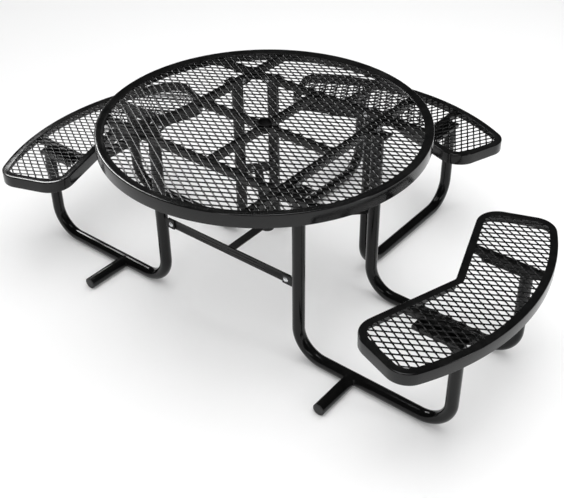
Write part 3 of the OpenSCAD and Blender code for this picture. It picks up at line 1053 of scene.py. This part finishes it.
def domed_bolt(grip):
    """A round-headed bolt under +Z, with rolled threads on its end."""
    head_r = 10
    head_h = 5
    dome_r = (head_r ** 2 + head_h ** 2) / (2 * head_h)
    line = [(0, head_h)]
    for angle in np.linspace(0, math.asin((head_r - 0.15) / dome_r), 9)[1:]:
        line.append((dome_r * math.sin(angle), head_h - dome_r + dome_r * math.cos(angle)))
    line += [(head_r, 0.35), (head_r - 0.2, 0), (5, 0)]
    end = -grip - 12
    z = -grip + 2
    line.append((5, z))
    while z > end + 2.2:
        line += [(4.55, z - 0.5), (4.95, z - 1.0)]
        z -= 1.5
        line.append((4.95, z + 0.2))
    line += [(4.7, end + 0.9), (3.9, end), (0, end)]
    return spun(line, 28)


def six_sided(width, height, chamfer):
    """Rings of a hexagon with turned chamfers, from z = 0 down to -height."""
    angles = np.linspace(0, 2 * math.pi, 48, endpoint=False)
    offs = (np.degrees(angles) + 30) % 60 - 30
    hexagon = width / 2 / np.cos(np.radians(offs))
    rings = []
    for z, limit in (
        (0, width * 0.485),
        (-chamfer, width * 0.55),
        (-chamfer * 1.6, width),
        (-height + chamfer * 1.6, width),
        (-height + chamfer, width * 0.55),
        (-height, width * 0.485),
    ):
        r = np.minimum(hexagon, limit)
        rings.append([(q * math.cos(a), q * math.sin(a), z) for q, a in zip(r, angles)])
    return rings, angles


def nut():
    """A hexagon nut below z = 0 with a threaded bore."""
    width = 17
    height = 8
    rings, angles = six_sided(width, height, 0.9)
    bore = []
    for z, r in ((-height, 5.7), (-height + 0.7, 5.05), (-0.7, 5.05), (0, 5.7)):
        bore.append([(r * math.cos(a), r * math.sin(a), z) for a in angles])
    return skin(rings + bore, True, True)


def seat_bolt():
    """A hexagon-headed bolt, its head below z = 0 and its shank above."""
    head_h = 5
    rings, angles = six_sided(13, head_h, 0.6)
    shank = [[(4 * math.cos(a), 4 * math.sin(a), z) for a in angles] for z in (0, 5, 12.6)]
    tip = [[(3.4 * math.cos(a), 3.4 * math.sin(a), 13) for a in angles]]
    points, faces = skin((tip + shank[::-1]) + rings, False, True)
    size = len(angles)
    faces.append(tuple(range(size)))
    faces.append(tuple(len(points) - size + j for j in range(size)))
    return points, faces


def fasteners():
    """Bolts and nuts at the legs, the brace and the seats."""
    leg_bolts = Shape()
    leg_nuts = Shape()
    seat_bolts = Shape()
    grip = BAR_W + BRACKET_T
    for turn, _ in SEATS.values():
        for side in (-1, 1):
            start = (BAR_IN, side * LEG_HALF, BAR_Z)
            points, faces = domed_bolt(grip)
            leg_bolts.add(turned_about(stood(points, start, (-1, 0, 0)), turn), faces)
            points, faces = nut()
            far = (BAR_IN + grip, side * LEG_HALF, BAR_Z)
            leg_nuts.add(turned_about(stood(points, far, (-1, 0, 0)), turn), faces)
            for reach in SEAT_BOLTS:
                points, faces = seat_bolt()
                under = (CHANNEL_X + reach, side * SEAT_BAR_Y, SEAT_DECK_LOW - BAR_W - CHANNEL_WALL)
                points = np.array(points) + np.array(under)
                seat_bolts.add(turned_about(points, turn), faces)
    leg_bolts.made("leg_bolt_set", FINISHES["zinc_bolt"], "zinc_bolt", ["leg_bolts"])
    leg_nuts.made("leg_nut_set", FINISHES["zinc_nut"], "zinc_nut", ["leg_nuts"], 25)
    seat_bolts.made("seat_bolt_set", FINISHES["zinc_bolt"], "zinc_bolt", ["seat_bolts"], 25)
    brace_bolts = Shape()
    brace_nuts = Shape()
    for turn, half, out, facing in TIES:
        across = half - min(LUG_LEN, half - 1) + LUG_BOLT
        for x in (-across, across):
            points, faces = domed_bolt(2 * BRACE_T)
            at_head = (x, -out - facing * BRACE_T, BRACE_Z)
            brace_bolts.add(turned_about(stood(points, at_head, (0, -facing, 0)), turn), faces)
            points, faces = nut()
            at_nut = (x, -out + facing * BRACE_T, BRACE_Z)
            brace_nuts.add(turned_about(stood(points, at_nut, (0, -facing, 0)), turn), faces)
    brace_bolts.made("brace_bolt_set", FINISHES["zinc_bolt"], "zinc_bolt", ["brace_bolts"])
    brace_nuts.made("brace_nut_set", FINISHES["zinc_nut"], "zinc_nut", ["brace_nuts"], 25)


# ---------------------------------------------------------------- pieces kept from the CAD


def dress_frame_parts():
    """Finishes and softened edges for the parts whose CAD shape is right."""
    slots = {row["node"]: row["material_slot"] for row in frame["record"]["subparts"]}
    for name, obj in frame["nodes"].items():
        dress(obj, FINISHES[slots[name]])
        softened = ("bar", "bracket", "channel", "brace", "lugs")
        if any(word in name for word in softened) and not name.endswith(("bolts", "nuts")):
            weld = obj.modifiers.new("joined", "WELD")
            weld.merge_threshold = 0.00002
            bevel = obj.modifiers.new("soft_edges", "BEVEL")
            bevel.width = 0.0018 if "bar" in name else 0.0011
            bevel.segments = 3
            bevel.limit_method = "ANGLE"
            bevel.angle_limit = math.radians(50)
            bevel.harden_normals = True


# ---------------------------------------------------------------- floor, light and camera

# How bright the floor and the sky are by themselves, and the sky as glossy paint mirrors it
FLOOR_GLOW = 0.06
SKY_GLOW = 0.66
SKY_IN_GLOSS = 0.03


def floor():
    """A plain pale floor that stays bright under the table."""
    far = 30
    corners = [(-far, -far, 0), (far, -far, 0), (far, far, 0), (-far, far, 0)]
    mesh = bpy.data.meshes.new("floor")
    mesh.from_pydata(corners, [], [(0, 1, 2, 3)])
    obj = bpy.data.objects.new("floor", mesh)
    bpy.context.scene.collection.objects.link(obj)
    material = bpy.data.materials.new("pale_floor")
    material.use_nodes = True
    shader = material.node_tree.nodes["Principled BSDF"]
    shader.inputs["Base Color"].default_value = (0.84, 0.84, 0.84, 1)
    shader.inputs["Roughness"].default_value = 0.9
    shader.inputs["Specular IOR Level"].default_value = 0.0
    shader.inputs["Emission Color"].default_value = (1, 1, 1, 1)
    shader.inputs["Emission Strength"].default_value = FLOOR_GLOW
    dress(obj, material)


def softbox(name, place, aim, size, power, lights=True, mirrored=True):
    """A rectangular soft light that lights surfaces, is mirrored in their gloss, or both."""
    lamp = bpy.data.lights.new(name, "AREA")
    lamp.shape = "RECTANGLE"
    lamp.size = size[0]
    lamp.size_y = size[1]
    lamp.energy = power
    obj = bpy.data.objects.new(name, lamp)
    bpy.context.scene.collection.objects.link(obj)
    obj.location = place
    obj.visible_diffuse = lights
    obj.visible_glossy = mirrored
    obj.rotation_mode = "QUATERNION"
    obj.rotation_quaternion = (Vector(aim) - Vector(place)).to_track_quat("-Z", "Y")


def light():
    """Soft studio light from above, sheens off the mesh and the bands, and two long side lights."""
    world = bpy.data.worlds.new("studio")
    world.use_nodes = True
    bpy.context.scene.world = world
    back = world.node_tree.nodes["Background"]
    back.inputs["Color"].default_value = (1, 1, 1, 1)
    back.inputs["Strength"].default_value = SKY_GLOW
    tree = world.node_tree
    dark = node(tree, "ShaderNodeBackground", {"Color": (1, 1, 1, 1), "Strength": SKY_IN_GLOSS})
    path = node(tree, "ShaderNodeLightPath")
    mixed = node(tree, "ShaderNodeMixShader", {0: path.outputs["Is Glossy Ray"]})
    tree.links.new(back.outputs[0], mixed.inputs[1])
    tree.links.new(dark.outputs[0], mixed.inputs[2])
    tree.links.new(mixed.outputs[0], tree.nodes["World Output"].inputs["Surface"])
    softbox("overhead", (0.2, 0.3, 4.2), (0.1, 0.2, 0), (4.6, 4.6), 155, mirrored=False)
    softbox("overhead_sheen", (0.1, 0.1, 4.6), (0.1, 0.1, 0), (1.8, 1.8), 56, lights=False)
    softbox("back_left_sheen", (-3.4, 0.9, 3.4), (0, 0.1, 0.7), (1.6, 1.6), 150, lights=False)
    softbox("front_strip", (1.2, -4.4, 1.7), (0.2, 0, 0.4), (0.35, 2.6), 14)
    softbox("right_strip", (4.2, 0.6, 1.9), (0.1, 0.2, 0.4), (0.4, 2.6), 20)


def camera():
    """The camera, looking down over the open side from the right."""
    azimuth = math.radians(37.65)
    elevation = math.radians(35.22)
    aim = Vector((0.2152, -0.0838, 0.4146))
    distance = 3.3846
    back = Vector((
        math.sin(azimuth) * math.cos(elevation),
        -math.cos(azimuth) * math.cos(elevation),
        math.sin(elevation),
    ))
    data = bpy.data.cameras.new("camera")
    data.sensor_width = 36
    data.lens = 61.87
    data.shift_x = -0.0307
    data.shift_y = -0.0314
    obj = bpy.data.objects.new("camera", data)
    bpy.context.scene.collection.objects.link(obj)
    obj.location = aim + back * distance
    obj.rotation_mode = "QUATERNION"
    obj.rotation_quaternion = (-back).to_track_quat("-Z", "Y")
    bpy.context.scene.camera = obj


dress_frame_parts()
table_band()
seat_bands()
table_mesh()
seat_meshes()
legs()
stub_feet()
welds()
umbrella_parts()
fasteners()
floor()
light()
camera()
bpy.context.scene.view_settings.view_transform = "Standard"
